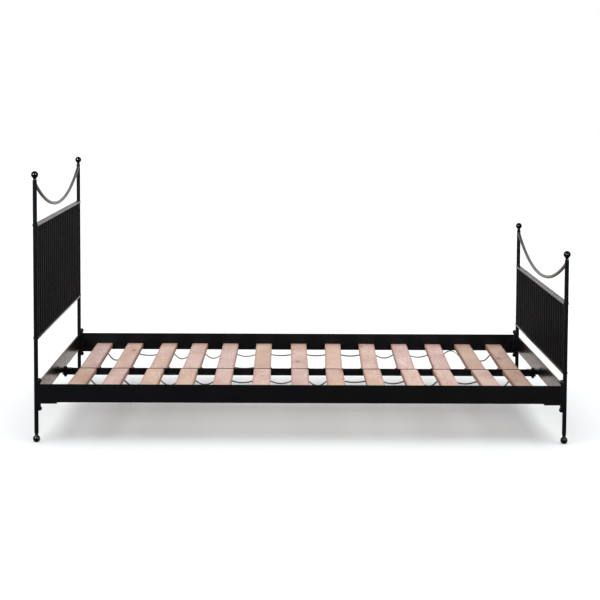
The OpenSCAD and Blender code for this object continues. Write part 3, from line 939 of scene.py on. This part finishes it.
def flange_welds(mesh_data, post, rail, rng):
    """Beads down the back of a post's flange, broken on the inner side where the end rail is in the way."""
    low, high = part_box("post_flanges")
    rail_low, rail_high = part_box(rail)
    back = high.x
    offset = math.sqrt(POST_RADIUS ** 2 - (abs(post.x) - back) ** 2) + FLANGE_CLEAR
    x = sign(post.x) * (back + POST_CLEAR)
    outer = post.y + sign(post.y) * offset
    inner = post.y - sign(post.y) * offset
    start = low.z + FLANGE_END_GAP
    finish = high.z - FLANGE_END_GAP
    upright_bead(mesh_data, x, outer, start, finish, FLANGE_BEAD, rng)
    upright_bead(mesh_data, x, inner, start, rail_low.z - 1 * MM, FLANGE_BEAD, rng)
    upright_bead(mesh_data, x, inner, rail_high.z + 1 * MM, finish, FLANGE_BEAD, rng)


def bracket_welds(mesh_data, facing, rng):
    """Beads down both sides of a centre bracket and over it, where it meets the end rail."""
    low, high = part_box("centre_brackets")
    x = facing * (high.x - PLATE_CLEAR)
    for y in (low.y - PLATE_CLEAR, high.y + PLATE_CLEAR):
        upright_bead(mesh_data, x, y, low.z + 1 * MM, high.z - 0.5 * MM, BRACKET_BEAD, rng)
    z = high.z + PLATE_CLEAR
    line = [Vector((x, low.y + 1 * MM, z)), Vector((x, high.y - 1 * MM, z))]
    bead(mesh_data, line, BRACKET_BEAD, rng)


def make_panel_welds(end):
    """All the beads of one end: at both posts, and round the bracket for the centre rail."""
    rng = random.Random(SEED + 1)
    mesh_data = bmesh.new()
    rail = f"{end}_end_rail"
    for side in SIDES:
        post = POSTS[(end, side)]
        bar_welds(mesh_data, post, f"{end}_upper_bar", rng)
        bar_welds(mesh_data, post, f"{end}_lower_bar", rng)
        rod_welds(mesh_data, post, f"{end}_swag_rod", rng)
        end_rail_welds(mesh_data, post, rail, rng)
        flange_welds(mesh_data, post, rail, rng)
    bracket_welds(mesh_data, sign(middle(rail).x), rng)
    finish_piece(mesh_data, f"{end}_panel_welds", "frame", PAINT, 60)


def make_rail_welds(side):
    """Beads inside the corner of a side rail's angle section, where it meets its two end plates."""
    rng = random.Random(SEED + 2)
    low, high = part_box(f"{side}_side_rail")
    facing = sign(middle(f"{side}_side_rail").y)
    web = facing * (max(abs(low.y), abs(high.y)) - SIDE_RAIL_THICK - PLATE_CLEAR)
    ledge = low.z + SIDE_RAIL_THICK
    z = ledge + PLATE_CLEAR
    mesh_data = bmesh.new()
    for end_x in (low.x, high.x):
        x = end_x - sign(end_x) * PLATE_CLEAR
        upright_bead(mesh_data, x, web, ledge + 1 * MM, high.z - 1 * MM, WEB_BEAD, rng)
        line = [Vector((x, facing * LEDGE_WELD_START, z)), Vector((x, web, z))]
        bead(mesh_data, line, LEDGE_BEAD, rng)
    finish_piece(mesh_data, f"{side}_rail_welds", "frame", PAINT, 60)


# ---------------------------------------------------------------- studio

# The camera's turns are in degrees, and its lens and sensor in millimetres.
CAMERA_PLACE = Vector((-0.0567, -7.3309, 1.3141))
CAMERA_YAW = 0.441
CAMERA_PITCH = -4.804
CAMERA_ROLL = -0.278
CAMERA_LENS = 108.5
CAMERA_SENSOR = 36
CAMERA_RISE = -0.1
CAMERA_REACH = 200
FLOOR_REACH = 40.0
FLOOR_SQUARES = 8
WHITE = (1, 1, 1, 1)

# Light on matt surfaces: its strength by height, how much more of it comes from the front than from the
# back, and how much more from both of those than from the bed's two ends.
DAYLIGHT = (0.975, 1.0, 1.008, 1)
HORIZON_LIGHT = 0.52
ZENITH_LIGHT = 1.58
GROUND_LIGHT = 0.30
FRONT_SHARE = 0.45
SPAN_SHARE = 0.35

# What shiny surfaces reflect: its strength in front of the bed, at its sides and behind it, and the shares
# of that below the horizon. Each fade runs between two values of a direction's part along Y or Z.
FRONT_GLOSS = 0.055
SIDE_GLOSS = 0.28
BACK_GLOSS = 0.78
LOW_SIDE_SHARE = 0.42
LOW_BACK_SHARE = 1.25
LOW_BACK_TINT = (1.0, 0.89, 0.84, 1)
SIDE_FADE = (-0.7, 0.1)
BACK_FADE = (0.3, 0.95)
HORIZON_FADE = (-0.05, 0.05)
SKIRTING_FADE = (-0.38, -0.22)

LAMPS = {
    "left_catch_light": {
        "place": (-3.2, -3.9, 2.5),
        "target": (-0.6, 0, 0.6),
        "size": 0.95,
        "power": 850,
        "colour": (0.76, 0.86, 1.0),
    },
    "right_catch_light": {
        "place": (2.6, -4.4, 2.4),
        "target": (0.6, 0, 0.5),
        "size": 0.75,
        "power": 340,
        "colour": (1, 1, 1),
    },
}


def make_camera():
    data = bpy.data.cameras.new("camera")
    data.lens = CAMERA_LENS
    data.sensor_width = CAMERA_SENSOR
    data.shift_y = CAMERA_RISE
    data.clip_end = CAMERA_REACH
    camera = bpy.data.objects.new("camera", data)
    bpy.context.scene.collection.objects.link(camera)
    turn = Matrix.Rotation(math.radians(-CAMERA_YAW), 4, "Z")
    tilt = Matrix.Rotation(math.radians(90 + CAMERA_PITCH), 4, "X")
    roll = Matrix.Rotation(math.radians(-CAMERA_ROLL), 4, "Z")
    camera.matrix_world = Matrix.Translation(CAMERA_PLACE) @ turn @ tilt @ roll
    bpy.context.scene.camera = camera


def matt_light(tree, aside, back, up):
    """The strength of the light that falls on matt surfaces from each direction."""
    ground = tree.math("LESS_THAN", up, 0.0)
    sky = tree.remap(up, 0.0, 1.0, HORIZON_LIGHT, ZENITH_LIGHT)
    sky = tree.math("MULTIPLY", sky, tree.math("SUBTRACT", 1.0, ground))
    sky = tree.math("ADD", sky, tree.math("MULTIPLY", ground, GROUND_LIGHT))
    along = tree.math("SUBTRACT", tree.math("POWER", back, 2.0), tree.math("POWER", aside, 2.0))
    balance = tree.math("SUBTRACT", 1.0, tree.math("MULTIPLY", back, FRONT_SHARE))
    balance = tree.math("ADD", balance, tree.math("MULTIPLY", along, SPAN_SHARE))
    return tree.math("MULTIPLY", sky, balance)


def mirrored_light(tree, back, up, above):
    """The strength of what shiny surfaces reflect from each direction."""
    sides = tree.remap(back, *SIDE_FADE, FRONT_GLOSS, SIDE_GLOSS, smooth=True)
    side_level = tree.remap(above, 0.0, 1.0, LOW_SIDE_SHARE, 1.0)
    behind = tree.remap(back, *BACK_FADE, 0.0, BACK_GLOSS - SIDE_GLOSS, smooth=True)
    skirting = tree.remap(up, *SKIRTING_FADE, LOW_SIDE_SHARE, LOW_BACK_SHARE, smooth=True)
    back_level = tree.math("MULTIPLY", skirting, tree.math("SUBTRACT", 1.0, above))
    back_level = tree.math("ADD", back_level, above)
    sides = tree.math("MULTIPLY", sides, side_level)
    behind = tree.math("MULTIPLY", behind, back_level)
    return tree.math("ADD", sides, behind)


def make_world():
    """A room that looks white, lights matt surfaces in one way, and is reflected in another."""
    world = bpy.data.worlds.new("studio")
    tree = Tree(world)
    way = tree.add("ShaderNodeTexCoord").outputs["Generated"]
    aside, back, up = tree.add("ShaderNodeSeparateXYZ", {0: way}).outputs
    above = tree.remap(up, *HORIZON_FADE, smooth=True)
    tint = tree.mix(above, LOW_BACK_TINT, WHITE)
    lit_level = matt_light(tree, aside, back, up)
    mirror_level = mirrored_light(tree, back, up, above)
    lit = tree.add("ShaderNodeBackground", {"Color": DAYLIGHT, "Strength": lit_level}).outputs[0]
    mirrored = tree.add("ShaderNodeBackground", {"Color": tint, "Strength": mirror_level}).outputs[0]
    seen = tree.add("ShaderNodeBackground", {"Color": WHITE, "Strength": 1.0}).outputs[0]

    path = tree.add("ShaderNodeLightPath").outputs
    both = tree.add("ShaderNodeMixShader", {0: path["Is Glossy Ray"], 1: lit, 2: mirrored}).outputs[0]
    both = tree.add("ShaderNodeMixShader", {0: path["Is Camera Ray"], 1: both, 2: seen}).outputs[0]
    tree.add("ShaderNodeOutputWorld", {"Surface": both})
    bpy.context.scene.world = world


def make_lamp(name, place, target, size, power, colour):
    """A square lamp that lights only shiny surfaces."""
    data = bpy.data.lights.new(name, "AREA")
    data.shape = "RECTANGLE"
    data.size = size
    data.size_y = size
    data.energy = power
    data.color = colour
    lamp = bpy.data.objects.new(name, data)
    bpy.context.scene.collection.objects.link(lamp)
    lamp.location = place
    lamp.rotation_mode = "QUATERNION"
    lamp.rotation_quaternion = (Vector(target) - Vector(place)).to_track_quat("-Z", "Y")
    lamp.visible_diffuse = False


def make_floor():
    """A white floor that takes the bed's shadow. It sends no light back to the bed."""
    mesh_data = bmesh.new()
    squares = {"x_segments": FLOOR_SQUARES, "y_segments": FLOOR_SQUARES}
    bmesh.ops.create_grid(mesh_data, size=FLOOR_REACH, **squares)
    mesh = bpy.data.meshes.new("floor")
    mesh_data.to_mesh(mesh)
    mesh_data.free()
    mesh.materials.append(studio_floor())
    floor = bpy.data.objects.new("floor", mesh)
    bpy.context.scene.collection.objects.link(floor)
    floor.visible_glossy = False
    floor.visible_diffuse = False


def make_studio():
    make_world()
    make_floor()
    for name, lamp in LAMPS.items():
        make_lamp(name, **lamp)
    bpy.context.scene.view_settings.view_transform = "Standard"


# ---------------------------------------------------------------- everything

make_camera()
paint_iron()
make_slats()
for side in SIDES:
    make_tapes(side)
    make_staples(side)
    make_rail_welds(side)
for end in ENDS:
    make_spindles(end)
    make_panel_welds(end)
make_studio()
